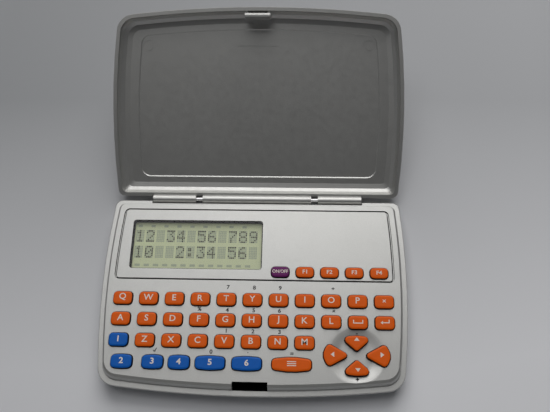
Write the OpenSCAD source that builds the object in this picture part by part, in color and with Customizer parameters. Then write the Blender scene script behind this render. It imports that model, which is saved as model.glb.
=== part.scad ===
// Handheld translator with a hinged lid, modelled with the lid open on its stop.
// Millimetres. The origin is the centre of the flat underside, +Z is up, +Y points to the hinge.

/* [Body outline] */
// Greatest width across the bowed sides
body_w = 119; // [117:0.5:135]
// Depth along the centre line, without the hinge
body_d = 76.7; // [75:0.1:88]
// How far each side bows out
side_bow = 2.55; // [1.5:0.05:4]
// How far the front edge bows out
front_bow = 3.85; // [2:0.05:5]
// How far the widest point lies behind the middle
wide_y = 5.3; // [0:0.1:10]
// Radius of the two front corners
front_r = 7.2; // [6:0.1:10]
// Radius of the two rear corners
rear_r = 2.8; // [2.5:0.1:5]

/* [Body heights] */
// Height of the joint between the bottom and the top case
parting_z = 4.6; // [4.4:0.1:4.8]
// Height of the narrow ledge that the closed lid sits over
ledge_z = 7; // [6.8:0.1:7.6]
// How far the keyboard platform stands above the ledge
platform_rise = 2; // [1.5:0.1:2.5]
// Thickness of the platform's top wall
top_wall = 1.6; // [1.4:0.05:1.6]
// Thickness of the floor of the bottom case
floor_t = 1.5; // [1.3:0.05:1.6]
// Thickness of the side walls
side_wall = 1.9; // [1.6:0.05:2]
// Thickness of the rear wall, which the hinge notch is cut from
rear_wall = 2.5; // [2.3:0.05:2.8]

/* [Platform edge] */
// Width of the ledge round the platform
ledge_w = 2; // [1.8:0.05:2.3]
// Run of the rounded edge at the sides
side_run = 1; // [0.6:0.05:1.4]
// Run of the rounded edge at the front
front_run = 2.2; // [1.2:0.05:2.6]
// Run of the rounded edge at the rear
rear_run = 0.4; // [0.3:0.05:0.9]

/* [Display plate] */
// How far the display plate stands above the platform
plate_rise = 0.1; // [0.05:0.05:0.4]
// Thickness of the display plate
plate_t = 1; // [0.9:0.05:1.2]
// Thickness of the plate's foot, which fills its pocket below the groove
foot_t = 0.3; // [0.2:0.05:0.5]
// Width of the groove beside the plate
groove_side = 0.8; // [0.5:0.05:1]
// Width of the groove in front of the plate and behind it
groove_end = 0.45; // [0.3:0.05:0.7]
// Inset of the plate's pocket from the outline of the body at the sides
plate_inset = 5; // [4.6:0.05:5.4]
// Distance from the rear edge of the body to the pocket
plate_back = 4.35; // [4:0.05:4.8]
// Distance from the battery well to the front edge of the pocket
plate_reach = 6.5; // [6.2:0.05:7]
// Corner radius of the pocket
plate_r = 2; // [1.5:0.05:2.5]

/* [Display] */
// Distance from the left side of the body to the window
window_side = 10.4; // [10:0.1:11.5]
// Distance from the window to the battery well beside it
window_gap = 3.15; // [2.8:0.05:4]
// Depth of the window, front to rear
window_d = 20.1; // [17:0.1:21]
// Distance from the pocket's rear edge to the middle of the window
window_back = 14.9; // [14.6:0.05:15.3]
// Corner radius of the window
window_r = 1.2; // [0.8:0.05:2]
// Thickness of the clear lens
lens_t = 0.8; // [0.6:0.05:0.9]
// Width of the shoulder under the lens
lens_seat = 0.4; // [0.3:0.05:0.8]
// Width of the rim that presses on the display glass
frame_w = 1.2; // [0.8:0.05:1.5]
// Height of that rim
frame_h = 0.5; // [0.2:0.05:0.6]
// Thickness of the display glass
glass_t = 1.1; // [0.9:0.05:1.2]
// How far the display glass reaches past the window
glass_margin = 1.8; // [1.5:0.05:1.9]
// Width of each rubber connector strip
strip_w = 1.4; // [1:0.05:1.6]

/* [Keys] */
// Distance from the side of the body to the last key in a row
key_side = 5.8; // [5.6:0.05:7.5]
// Space between two letter keys, side by side
key_between = 2.6; // [2.3:0.05:3.4]
// Distance from the display plate's pocket to the first row of letter keys
row_back = 5.05; // [4.9:0.05:5.4]
// Distance from the front edge of the body to the last row
row_front = 9; // [8.8:0.05:10]
// Space between two rows of keys
row_between = 2.85; // [2.6:0.05:3.5]
// Corner radius of the keys
key_r = 1.5; // [1.2:0.05:1.8]
// How far the key tops stand above the platform
key_rise = 1.15; // [0.8:0.05:1.6]
// How far a key travels when it is pressed
key_travel = 0.8; // [0.4:0.05:0.9]
// Clearance round each key in its hole
key_gap = 0.25; // [0.15:0.01:0.35]
// Width of the flange that keeps a key in its hole
key_flange = 0.6; // [0.4:0.05:0.7]
// Thickness of that flange
flange_t = 0.8; // [0.6:0.05:0.9]
// Play between that flange and the top case
flange_play = 0.3; // [0.2:0.05:0.4]
// Distance from the window to the middle of the first function key
small_gap = 7.3; // [7.2:0.05:8]
// Distance from the side of the body to the middle of the last function key
small_side = 11.02; // [10.9:0.02:12]
// Distance from the pocket's front edge to the middle of the function keys
small_back = 3.5; // [3.4:0.05:3.7]
// Width of a function key
small_w = 7; // [6.2:0.05:7.2]
// Depth of a function key
small_d = 4.3; // [3.9:0.05:4.4]
// Room of a short key in the bottom row, in letter key places
short_span = 1.07; // [1:0.01:1.1]
// Room of a middling key in the bottom row, in letter key places
middle_span = 1.38; // [1.3:0.01:1.42]
// Room of the long key in the bottom row, in letter key places
long_span = 1.74; // [1.5:0.01:1.78]
// How far the long edges of a short key in the bottom row bow out
short_bow = 0.25; // [0.1:0.05:0.35]
// How far the long edges of a middling key bow out
middle_bow = 0.35; // [0.2:0.05:0.45]
// How far the long edges of the long key bow out
long_bow = 0.6; // [0.3:0.05:0.7]
// How much less than the spacing of the rows the ring of arrow keys reaches up and down
ring_less = 0.55; // [0.5:0.05:1.2]
// Reach of the arrow keys that point sideways, from the middle of their ring
ring_reach = 13.25; // [12.5:0.05:13.4]
// Radius of the flat floor of the dish that the arrow keys stand in
dish_floor_r = 6; // [4:0.1:7]
// Radius of the dish at its rim
dish_r = 11; // [9:0.1:12]
// Depth of that dish
dish_deep = 0.7; // [0.3:0.05:0.8]

/* [Hinge] */
// How far the hinge axis lies behind the body
hinge_back = 1.05; // [0.8:0.05:1.3]
// How far the hinge axis lies below the ledge
hinge_drop = 1.2; // [1:0.05:1.4]
// Radius of the hinge barrels
barrel_r = 1.8; // [1.7:0.02:1.9]
// Half the length of the barrel on the body
barrel_half = 22.2; // [18:0.1:23]
// Length of bare pin that shows at each end of the body's barrel
pin_show = 2.8; // [1:0.1:4]
// Length of each knuckle of the lid
knuckle_l = 17.6; // [12:0.1:22]
// Radius of the hinge pins
pin_r = 0.85; // [0.6:0.01:0.9]
// Radial clearance of the pins in the knuckles
pin_gap = 0.05; // [0.02:0.01:0.09]
// Radial grip of the body's barrel on the pins
pin_grip = 0.02; // [0.01:0.01:0.04]
// How deep each pin reaches into a barrel or a knuckle
pin_hold = 6; // [4:0.1:10]
// Clearance between the lid and the body
lid_gap = 0.3; // [0.25:0.05:0.5]
// Opening angle of the lid at rest
lid_open = 153.3; // [120:0.1:156]

/* [Lid] */
// Height of the lid above its rim at the edge of its top
lid_h = 6.4; // [6:0.05:6.8]
// Extra height of the crowned middle of the lid
lid_crown = 0.6; // [0.3:0.05:0.9]
// Thickness of the lid's wall at the rim
lid_wall = 1.5; // [1.3:0.05:1.6]
// Depth of the tray inside the lid
tray_h = 4.7; // [4.2:0.05:5]
// Inset of the shallow panel in the tray's floor at its sides
panel_side = 9.4; // [8:0.1:12]
// Inset of that panel at its front and rear
panel_end = 8; // [7.2:0.1:12]
// Depth of that panel
panel_deep = 0.3; // [0.15:0.05:0.4]
// Distance from the side of the lid to the middle of a ring mark in the panel
mark_side = 14.2; // [13:0.1:16]
// Distance from the catch to the middle of the ring marks
mark_back = 12.3; // [10:0.1:14]
// Radius of a ring mark
mark_r = 2.6; // [2:0.1:3]
// Depth of the marks
mark_deep = 0.12; // [0.05:0.01:0.2]
// Width of the catch
catch_w = 10.1; // [8:0.1:11]
// Thickness of the catch
catch_t = 1.5; // [1.1:0.05:1.6]
// How far the catch reaches past the rim
catch_reach = 2.6; // [1.8:0.05:3]
// Bevel along the tip of the catch, on its outer side
catch_bevel = 0.8; // [0.5:0.05:0.9]
// Distance from the front edge of the body to the catch
catch_in = 2.85; // [2.6:0.05:3.3]
// Clearance round the catch in its slot, front and rear
slot_gap = 0.75; // [0.5:0.05:0.8]
// Width of the slot for the catch
slot_w = 13.1; // [12:0.1:14]

/* [Inside] */
// Height of the underside of the circuit board
board_z = 3.4; // [3.2:0.05:3.5]
// Thickness of the circuit board
board_t = 1.2; // [0.9:0.05:1.2]
// Thickness of the rubber keypad sheet
sheet_t = 0.4; // [0.3:0.05:0.5]
// Radius of a dome on that sheet, at its foot
dome_r = 1.6; // [1.2:0.05:2]
// Clearance between a pressed key and the dome under it
dome_gap = 0.2; // [0.1:0.05:0.3]
// Radius of a coin cell
cell_r = 10; // [8:0.05:10.1]
// Thickness of a coin cell
cell_t = 3.2; // [2:0.05:3.3]
// Distance from the side of the body to the middle between the two coin cells
cells_side = 30.9; // [30.6:0.05:31.5]
// Distance from the display plate's pocket to the middle of the coin cells
cells_back = 11.7; // [11.5:0.05:12]
// Distance between the two coin cells' centres
cell_pitch = 22.4; // [21.6:0.1:22.8]
// Clearance round each coin cell in the battery well
cell_gap = 0.35; // [0.2:0.05:0.4]
// Thickness of the walls of the battery well
well_wall = 0.8; // [0.7:0.05:0.9]
// Thickness of the battery door
door_t = 1; // [0.9:0.05:1.1]
// Width of the ledge that the battery door rests on
door_ledge = 1; // [0.9:0.05:1.4]
// Clearance round the battery door
door_gap = 0.15; // [0.1:0.01:0.25]
// Radius of the sounder disc
buzzer_r = 9; // [6:0.1:10]
// Half the length of a battery contact
contact_half = 6; // [5:0.1:7]
// Width of a battery contact
contact_w = 3; // [2:0.1:4]
// Thickness of a battery contact
contact_t = 0.25; // [0.15:0.05:0.3]

/* [Screws] */
// Radius of a screw's shank
screw_r = 1; // [0.8:0.02:1.05]
// Radius of a screw's head
screw_head_r = 1.9; // [1.6:0.02:1.95]
// Height of a screw's head
screw_head_h = 1.2; // [0.9:0.05:1.3]
// Depth of the head below the underside
screw_sunk = 0.7; // [0.4:0.05:0.9]
// Length of a screw under its head
screw_l = 4.6; // [4:0.1:5]
// Radius of the posts that the screws go through
post_r = 2.6; // [2.5:0.05:2.8]
// Radius of the pilot holes that the screws cut into
pilot_r = 0.85; // [0.7:0.01:0.95]

/* [Hidden] */
SMALL_KEYS = ["key_on_off", "key_edit", "key_delete", "key_calc", "key_mode"];
TOP_KEYS = [
    "key_q", "key_w", "key_e", "key_r", "key_t", "key_y", "key_u", "key_i", "key_o", "key_p", "key_esc"
];
HOME_KEYS = [
    "key_a", "key_s", "key_d", "key_f", "key_g", "key_h", "key_j", "key_k", "key_l",
    "key_space", "key_enter"
];
LOW_KEYS = ["key_language_1", "key_z", "key_x", "key_c", "key_v", "key_b", "key_n", "key_m"];
WIDE_KEYS = [
    "key_language_2", "key_language_3", "key_language_4", "key_language_5", "key_language_6",
    "key_phrase"
];
ARROW_KEYS = ["key_right", "key_up", "key_left", "key_down"];

$fn = 48;

silver = [0.76, 0.76, 0.75];
orange = [0.88, 0.35, 0.1];
blue = [0.08, 0.35, 0.69];
purple = [0.39, 0.1, 0.35];

eps = 0.01;
half_d = body_d / 2;
platform_z = ledge_z + platform_rise;
plate_z = platform_z + plate_rise;
pocket_z = plate_z - plate_t;
ceiling_z = platform_z - top_wall;
glass_top_z = ceiling_z - frame_h;
hinge_y = half_d + hinge_back;
hinge_z = ledge_z - hinge_drop;
rim_z = ledge_z + lid_gap;
lip_rise = 0.7;
lip_t = 0.9;
fit_gap = 0.1;
screw_tip_z = screw_sunk + screw_head_h + screw_l;
boss_wall = 0.6;

// Edges of the plate's pocket, and the battery well in front of its rear edge
pocket_rear_y = half_d - plate_back;
cells_x = body_w / 2 - cells_side;
cells_y = pocket_rear_y - cells_back;
well_x = [cells_x - cell_pitch / 2 - cell_r - cell_gap, cells_x + cell_pitch / 2 + cell_r + cell_gap];
well_y = [cells_y - cell_r - cell_gap, cells_y + cell_r + cell_gap];
pocket_front_y = well_y[0] - well_wall - plate_reach;

// Edges and middle of the window
window_left = window_side - body_w / 2;
window_right = well_x[0] - well_wall - window_gap;
window_x = (window_left + window_right) / 2;
window_y = pocket_rear_y - window_back;

// Places of the rows of keys, and the sizes that follow from them
key_w = (body_w - 2 * key_side - 10 * key_between) / 11;
key_pitch = key_w + key_between;
key_d = (pocket_front_y - row_back + half_d - row_front - 3 * row_between) / 4;
row_pitch = key_d + row_between;
row_y = pocket_front_y - row_back - key_d / 2;
small_x = window_right + small_gap;
small_pitch = (body_w / 2 - small_side - small_x) / 4;
small_y = pocket_front_y + small_back;
ring_half = row_pitch - ring_less;
arrow_x = 3.93 * key_pitch;
arrow_y = row_y - 2.5 * row_pitch - 0.25;

// Circles that the sides and the front edge are arcs of
side_arc_r = (pow(body_d / 2, 2) + pow(side_bow, 2)) / (2 * side_bow);
front_arc_r = (pow(body_w / 2, 2) + pow(front_bow, 2)) / (2 * front_bow);
side_arc_c = [body_w / 2 - side_arc_r, wide_y];
front_arc_c = [0, front_arc_r - half_d];

// Where the right side lies at a given y, moved in by an inset
function side_x(y, inset = 0) =
    side_arc_c.x + sqrt(pow(side_arc_r - inset, 2) - pow(y - wide_y, 2));

// Where the front edge lies at a given x, moved in by an inset
function front_y(x, inset = 0) =
    front_arc_c.y - sqrt(pow(front_arc_r - inset, 2) - x * x);

function angle_of(v) = atan2(v.y, v.x);

function arc(c, r, from, to, steps) = [
    for (i = [0 : steps])
        let (turn = from + (to - from) * i / steps)
        c + r * [cos(turn), sin(turn)]
];

function mirrored(points) = [for (i = [len(points) - 1 : -1 : 0]) [-points[i].x, points[i].y]];

// Centre of the circle of radius r that touches the side arc and the front arc from inside
function front_corner(side_r, edge_r, r) =
    let (
        a = side_r - r,
        b = edge_r - r,
        gap = front_arc_c - side_arc_c,
        dir = gap / norm(gap),
        along = (a * a - b * b + gap * gap) / (2 * norm(gap))
    )
    side_arc_c + along * dir + sqrt(a * a - along * along) * [dir.y, -dir.x];

// The body's outline, moved in by its own amount at the sides, the front and the rear
function outline(side_in, front_in, rear_in, front_cr, rear_cr) =
    let (
        side_r = side_arc_r - side_in,
        edge_r = front_arc_r - front_in,
        front_c = front_corner(side_r, edge_r, front_cr),
        rear_y = half_d - rear_in - rear_cr,
        rear_c = [side_arc_c.x + sqrt(pow(side_r - rear_cr, 2) - pow(rear_y - wide_y, 2)), rear_y],
        front_end = angle_of(front_c - front_arc_c),
        side_start = angle_of(front_c - side_arc_c),
        side_end = angle_of(rear_c - side_arc_c),
        front_steps = 8,
        half = concat(
            [for (i = [1 : front_steps - 1])
                front_arc_c + edge_r * [
                    cos(-90 + (front_end + 90) * i / front_steps),
                    sin(-90 + (front_end + 90) * i / front_steps)
                ]
            ],
            arc(front_c, front_cr, front_end, side_start, 7),
            [for (i = [1 : 5]) side_arc_c + side_r * [
                cos(side_start + (side_end - side_start) * i / 6),
                sin(side_start + (side_end - side_start) * i / 6)
            ]],
            arc(rear_c, rear_cr, side_end, 90, 4)
        )
    )
    concat([[0, front_arc_c.y - edge_r]], half, mirrored(half));

// The same inset all round, with corners that shrink as the outline does
function inset_outline(d) =
    outline(d, d, d, max(front_r - d * 0.6, 2.5), max(rear_r - d * 0.3, 1.2));

// The outline of the hollow inside the walls, made smaller by an extra amount
function hollow(extra) =
    outline(
        side_wall + extra,
        side_wall + extra,
        rear_wall + extra,
        max(front_r - (side_wall + extra) * 0.6, 2.5),
        1.5
    );

function lifted(points, z) = [for (p = points) [p.x, p.y, z]];

// A closed solid through a stack of outlines with equal numbers of points, lowest first
module loft(rings) {
    n = len(rings[0]);
    last = len(rings) - 1;
    points = [for (ring = rings) each ring];
    sides = [
        for (k = [0 : last - 1], i = [0 : n - 1])
            let (j = (i + 1) % n)
            each [[k * n + i, (k + 1) * n + i, k * n + j], [k * n + j, (k + 1) * n + i, (k + 1) * n + j]]
    ];
    floor_cap = [for (i = [1 : n - 2]) [0, i, i + 1]];
    roof_cap = [for (i = [1 : n - 2]) [last * n, last * n + i + 1, last * n + i]];
    polyhedron(points = points, faces = concat(sides, floor_cap, roof_cap));
}

module prism(points, from, to) {
    translate([0, 0, from]) linear_extrude(to - from) polygon(points);
}

module block(low, high) {
    translate(low) cube(high - low);
}

// A cylinder along X between two places, at a height and depth relative to the hinge axis
module rod_x(r, from, to) {
    translate([from, hinge_y, hinge_z]) rotate([0, 90, 0]) cylinder(r = r, h = to - from);
}

// A profile in the plane of Y and Z round the hinge axis, drawn along X
module along_x(profile, from, to) {
    translate([from, hinge_y, hinge_z])
        rotate([90, 0, 90])
        linear_extrude(to - from) polygon(profile);
}

// ---------- Key shapes ----------

// Rounded corners of a convex polygon: for each vertex the arc's centre, radius, start and sweep
function corner(before, at, after, r) =
    let (
        to_before = (before - at) / norm(before - at),
        to_after = (after - at) / norm(after - at),
        half_angle = acos(to_before * to_after) / 2,
        middle = (to_before + to_after) / norm(to_before + to_after),
        centre = at + middle * r / sin(half_angle),
        start = angle_of(at + to_before * r / tan(half_angle) - centre)
    )
    [centre, r, start, 180 - 2 * half_angle];

function rounded(vertices, radii, inset, steps) =
    let (n = len(vertices))
    [
        for (i = [0 : n - 1])
            let (c = corner(vertices[(i + n - 1) % n], vertices[i], vertices[(i + 1) % n], radii[i]))
            for (s = [0 : steps])
                c[0] + (c[1] - inset) * [cos(c[2] + c[3] * s / steps), sin(c[2] + c[3] * s / steps)]
    ];

// A key's vertices and radii. bow is how far the long edges rise towards their middle.
function bar_shape(w, d, bow) =
    let (
        x = w / 2,
        y = d / 2 - bow,
        r = min(key_r, y - 0.1),
        slope = atan2(2 * bow, x),
        edge = norm([x, 2 * bow]) - r * tan(45 + slope / 2) - 0.2,
        bow_r = edge * tan(90 - slope)
    )
    bow == 0
        ? [[[x, -y], [x, y], [-x, y], [-x, -y]], [r, r, r, r]]
        : [
            [[x, -y], [x, y], [0, y + 2 * bow], [-x, y], [-x, -y], [0, -y - 2 * bow]],
            [r, r, bow_r, r, r, bow_r]
        ];

// An arrow key points its rounded tip at the middle of the ring; its far side is bowed out
tip_r = 1.1;
shoulder_r = 1.4;
function arrow_shape(arrow, turn) =
    let (
        half_angle = atan2(arrow[2], arrow[1] - arrow[0] + tip_r),
        vertex = arrow[0] - tip_r * (1 / sin(half_angle) - 1),
        corners = [[vertex, 0], [arrow[1], -arrow[2]], [arrow[3], 0], [arrow[1], arrow[2]]],
        spin = [[cos(turn), -sin(turn)], [sin(turn), cos(turn)]]
    )
    [[for (p = corners) spin * p], [tip_r, shoulder_r, arrow[4], shoulder_r]];

// The width of a key that takes up a number of letter key places
function width_of(span) = span * key_pitch - key_between;

// The bottom row's keys: place and width in letter key places, and the bow of their long edges
WIDE = [
    [-4.8, short_span, short_bow],
    [-3.64, short_span, short_bow],
    [-2.65, short_span, short_bow],
    [-1.49, middle_span, middle_bow],
    [-0.13, middle_span, middle_bow],
    [1.53, long_span, long_bow]
];

// Arrow keys that point sideways, and up or down: tip, shoulder, half width, reach, bow radius
SIDE_ARROW = [3.55, ring_reach - 2.8, 4.4, ring_reach, 4.6];
END_ARROW = [1.75, ring_half - 0.6, 6.4, ring_half, 9];

// Each key: name, place, shape, colour
KEYS = concat(
    [for (i = [0 : len(SMALL_KEYS) - 1]) [
        SMALL_KEYS[i],
        [small_x + i * small_pitch, small_y],
        bar_shape(small_w, small_d, 0),
        i == 0 ? purple : orange
    ]],
    [for (i = [0 : len(TOP_KEYS) - 1]) [
        TOP_KEYS[i],
        [(i - 5) * key_pitch, row_y],
        bar_shape(key_w, key_d, 0),
        orange
    ]],
    [for (i = [0 : len(HOME_KEYS) - 1]) [
        HOME_KEYS[i],
        [(i - 5) * key_pitch, row_y - row_pitch],
        bar_shape(key_w, key_d, 0),
        orange
    ]],
    [for (i = [0 : len(LOW_KEYS) - 1]) [
        LOW_KEYS[i],
        [(i - 5) * key_pitch, row_y - 2 * row_pitch],
        bar_shape(key_w, key_d, 0),
        i == 0 ? blue : orange
    ]],
    [for (i = [0 : len(WIDE_KEYS) - 1]) [
        WIDE_KEYS[i],
        [WIDE[i][0] * key_pitch, row_y - 3 * row_pitch],
        bar_shape(width_of(WIDE[i][1]), key_d, WIDE[i][2]),
        i == 5 ? orange : blue
    ]],
    [for (i = [0 : 3]) [
        ARROW_KEYS[i],
        [arrow_x, arrow_y],
        arrow_shape(i % 2 == 0 ? SIDE_ARROW : END_ARROW, i * 90),
        orange
    ]]
);

function key_outline(k, grow, steps = 3) =
    [for (p = rounded(k[2][0], k[2][1], -grow, steps)) p + k[1]];

flange_top_z = ceiling_z - flange_play;
flange_z = flange_top_z - flange_t;
key_top_z = platform_z + key_rise;

// A key cap with a crowned top, and the flange that holds it in
module key(k) {
    color(k[3]) {
        loft([
            lifted(key_outline(k, 0), flange_z + flange_t / 2),
            lifted(key_outline(k, 0), key_top_z - 0.55),
            lifted(key_outline(k, -0.22), key_top_z - 0.15),
            lifted(key_outline(k, -0.75), key_top_z)
        ]);
        prism(key_outline(k, key_flange, 2), flange_z, flange_top_z);
    }
}

// The holes that the keys stand in
module key_holes(first, last, from, to) {
    for (i = [first : last])
        prism(key_outline(KEYS[i], key_gap), from, to);
}

// ---------- Shared places ----------

// Screw posts: two at the rear corners, two at the middle of the sides, two at the front
rear_post_y = half_d - rear_wall - post_r + 0.2;
side_post_y = row_y + key_d / 2 + key_flange + 0.35 + post_r;
post_clear = side_wall + lip_t - 0.2 + post_r;
front_post_x = 3 * key_pitch;
POSTS = [
    for (side = [-1, 1]) each [
        [side * (side_x(rear_post_y) - post_clear), rear_post_y],
        [side * (side_x(side_post_y) - post_clear), side_post_y],
        [side * front_post_x, front_y(front_post_x) + side_wall + post_r - 0.2]
    ]
];

// The battery well's heights and the screw that holds its door
cell_z = door_t + 0.1;
well_ceiling_z = cell_z + cell_t + 0.5;
door_post = [cells_x, well_y[1] - post_r - 0.1];
door_boss_z = screw_sunk + screw_head_h + boss_wall;
HOOKS = [cells_x - 5, cells_x + 5];
hook_w = 4;
hook_z = floor_t + 0.1;

glass = [
    [window_left - glass_margin, window_y - window_d / 2 - glass_margin],
    [window_right + glass_margin, window_y + window_d / 2 + glass_margin]
];
glass_z = glass_top_z - glass_t;
board_top_z = board_z + board_t;
sheet_top_z = board_top_z + sheet_t;
dome_h = flange_z - key_travel - dome_gap - sheet_top_z;

// The notch in the rear edge that the hinge lies in
notch_half = barrel_half + pin_show + knuckle_l + lid_gap;
notch_front = -barrel_r - 0.5;
notch_floor = -barrel_r - 0.4;

function rect(low, high, r = 0.01) =
    rounded(
        [[high.x, low.y], [high.x, high.y], [low.x, high.y], [low.x, low.y]],
        [r, r, r, r], 0, 4
    );

function window_outline(grow) =
    rect(
        [window_left - grow, window_y - window_d / 2 - grow],
        [window_right + grow, window_y + window_d / 2 + grow],
        window_r + grow
    );

// The display plate's pocket follows the bowed sides of the body. The plate is smaller by its own
// amount at the sides and at the ends.
function plate_outline(side_in, end_in) =
    let (
        r = plate_r - max(side_in, end_in),
        side_r = side_arc_r - plate_inset - side_in,
        top_y = pocket_rear_y - end_in - r,
        low_y = pocket_front_y + end_in + r,
        top_c = [side_arc_c.x + sqrt(pow(side_r - r, 2) - pow(top_y - wide_y, 2)), top_y],
        low_c = [side_arc_c.x + sqrt(pow(side_r - r, 2) - pow(low_y - wide_y, 2)), low_y],
        from = angle_of(low_c - side_arc_c),
        to = angle_of(top_c - side_arc_c),
        half = concat(
            arc(low_c, r, -90, from, 4),
            [for (i = [1 : 3]) side_arc_c + side_r * [
                cos(from + (to - from) * i / 4),
                sin(from + (to - from) * i / 4)
            ]],
            arc(top_c, r, to, 90, 4)
        )
    )
    concat(half, mirrored(half));

// ---------- Housing ----------

// Everything behind the front wall of the hinge notch and above its floor
module hinge_notch(floor_z) {
    block(
        [-notch_half, hinge_y + notch_front, floor_z],
        [notch_half, hinge_y + 20, ledge_z + 10]
    );
}

module bottom_case() {
    color(silver) {
        difference() {
            union() {
                difference() {
                    loft([
                        lifted(inset_outline(2.8), 0),
                        lifted(inset_outline(1.5), 0.5),
                        lifted(inset_outline(0.7), 1.7),
                        lifted(inset_outline(0.25), parting_z)
                    ]);
                    prism(hollow(fit_gap), floor_t, parting_z + 1);
                }
                locating_lip();
                for (p = POSTS)
                    translate([p.x, p.y, 0.8]) cylinder(r = post_r, h = parting_z - 0.8);
                board_rests();
                battery_well();
            }
            for (p = POSTS)
                screw_hole(p);
            battery_opening();
            difference() {
                hinge_notch(hinge_z + notch_floor);
                block(
                    [-barrel_half, half_d - 10, 0],
                    [barrel_half, hinge_y + notch_front + 0.3, parting_z]
                );
            }
        }
        hinge_barrel();
    }
}

// The lip that the top case fits over, left open at the posts and where the catch comes down
module locating_lip() {
    difference() {
        prism(hollow(fit_gap - 0.3), parting_z - 1, parting_z);
        prism(hollow(fit_gap + lip_t), parting_z - 2, parting_z + 2);
    }
    difference() {
        prism(hollow(fit_gap), parting_z - 0.5, parting_z + lip_rise);
        prism(hollow(fit_gap + lip_t), parting_z - 2, parting_z + 2);
        block([-slot_w / 2, -half_d, parting_z], [slot_w / 2, slot_rear_y, parting_z + 2]);
        for (p = POSTS)
            translate([p.x, p.y, parting_z]) cylinder(r = post_r + 0.2, h = 2);
    }
}

// Barrel and web that carry the pins, with a bore at each end
module hinge_barrel() {
    web = [
        [notch_front - 0.5, -hinge_z + 1.7],
        [-1.1, -hinge_z + 1.7],
        [0.6, -barrel_r + 0.3],
        [0, 0],
        [-barrel_r + 0.1, 0.1],
        [notch_front, parting_z - hinge_z],
        [notch_front - 0.5, parting_z - hinge_z]
    ];
    difference() {
        union() {
            rod_x(barrel_r, -barrel_half, barrel_half);
            along_x(web, -barrel_half, barrel_half);
        }
        for (side = [-1, 1])
            rod_x(pin_r - pin_grip, side > 0 ? barrel_half - pin_hold : -barrel_half - 1,
                side > 0 ? barrel_half + 1 : pin_hold - barrel_half);
    }
}

module screw_hole(p) {
    translate([p.x, p.y, -1]) {
        cylinder(r = screw_r + 0.15, h = parting_z + 3);
        cylinder(r = screw_head_r + 0.2, h = 1 + screw_sunk + screw_head_h);
    }
}

// Short rests that the circuit board lies on
module board_rests() {
    for (place = [-4, -1.4, 1.2, 3.8], y = [row_y - 3 * row_pitch, row_y])
        board_rest(place * key_pitch, y);
    for (x = [window_left + 5, window_right - 3])
        board_rest(x, window_y + window_d / 2 - 2);
}

module board_rest(x, y) {
    translate([x, y, floor_t - eps]) cylinder(r = 1.5, h = board_z - floor_t + eps);
}

module battery_well() {
    difference() {
        block(
            [well_x[0] - well_wall, well_y[0] - well_wall, 0.8],
            [well_x[1] + well_wall, well_y[1] + well_wall, well_ceiling_z + well_wall]
        );
        block([well_x[0], well_y[0], 0], [well_x[1], well_y[1], well_ceiling_z]);
    }
    translate([door_post.x, door_post.y, door_boss_z + 0.05])
        cylinder(r = post_r, h = well_ceiling_z - door_boss_z);
}

// The way in for the coin cells, the rebate that the door lies in, the slots for its
// hooks and the hole for its screw
module battery_opening() {
    block([well_x[0], well_y[0], -1], [well_x[1], well_y[1], floor_t + 0.1]);
    prism(
        rect(
            [well_x[0] - door_ledge, well_y[0] - door_ledge],
            [well_x[1] + door_ledge, well_y[1] + door_ledge],
            1.5
        ),
        -1, door_t
    );
    for (x = HOOKS)
        block(
            [x - hook_w / 2 - 0.2, well_y[0] - well_wall - 1, floor_t],
            [x + hook_w / 2 + 0.2, well_y[0] + 0.5, hook_z + 1]
        );
    translate([door_post.x, door_post.y, door_boss_z]) cylinder(r = pilot_r, h = 5);
}

module top_case() {
    foot = [ledge_w, ledge_w, ledge_w];
    color(silver) difference() {
        union() {
            loft([
                lifted(inset_outline(0.1), parting_z),
                lifted(inset_outline(0), parting_z + 0.4),
                lifted(inset_outline(0), ledge_z - 0.35),
                lifted(inset_outline(0.3), ledge_z)
            ]);
            loft([
                lifted(platform_ring(foot, 0), ledge_z - 0.5),
                lifted(platform_ring(foot, 0.04), ledge_z + platform_rise * 0.15),
                lifted(platform_ring(foot, 0.2), ledge_z + platform_rise * 0.55),
                lifted(platform_ring(foot, 0.52), ledge_z + platform_rise * 0.88),
                lifted(platform_ring(foot, 1), platform_z)
            ]);
        }
        difference() {
            union() {
                prism(hollow(0), parting_z - 1, ledge_z - 1.6);
                prism(hollow(1.6), parting_z, ceiling_z);
            }
            for (p = POSTS)
                translate([p.x, p.y, parting_z]) cylinder(r = post_r, h = ceiling_z);
            prism(window_outline(frame_w), glass_top_z, ceiling_z + 1);
        }
        prism(plate_outline(0, 0), pocket_z, plate_z + 1);
        prism(window_outline(-lens_seat), glass_top_z - 1, plate_z);
        arrow_dish();
        key_holes(0, len(KEYS) - 1, ceiling_z - 1, plate_z + 1);
        catch_slot();
        hinge_notch(parting_z - 1);
        for (p = POSTS)
            translate([p.x, p.y, parting_z - 1])
                cylinder(r = pilot_r, h = screw_tip_z + 1.5 - parting_z);
    }
}

// One outline of the platform, a part of the way through the rounded edge
function platform_ring(foot, part) =
    outline(
        foot[0] + side_run * part,
        foot[1] + front_run * part,
        foot[2] + rear_run * part,
        front_r - ledge_w * 0.6 - side_run * part * 0.6,
        rear_r - ledge_w * 0.3 - rear_run * part * 0.3
    );

// The dish that the arrow keys stand in: a flat floor, and a wave that runs out level at both ends
module arrow_dish() {
    steps = 6;
    wave = [
        for (i = [0 : steps]) [
            dish_floor_r + (dish_r - dish_floor_r) * i / steps,
            0.02 - (dish_deep + 0.02) * (1 + cos(180 * i / steps)) / 2
        ]
    ];
    translate([arrow_x, arrow_y, platform_z])
        rotate_extrude($fn = 96) polygon(concat([[0, -dish_deep]], wave, [[dish_r, 1], [0, 1]]));
}

// The slot in the front of the platform that takes the lid's catch
catch_y = catch_in - half_d;
slot_rear_y = catch_y + catch_t + slot_gap;
slot_front_y = catch_y - slot_gap;
module catch_slot() {
    block([-slot_w / 2, slot_front_y, ledge_z - 1.7], [slot_w / 2, slot_rear_y, platform_z + 1]);
}

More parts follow.
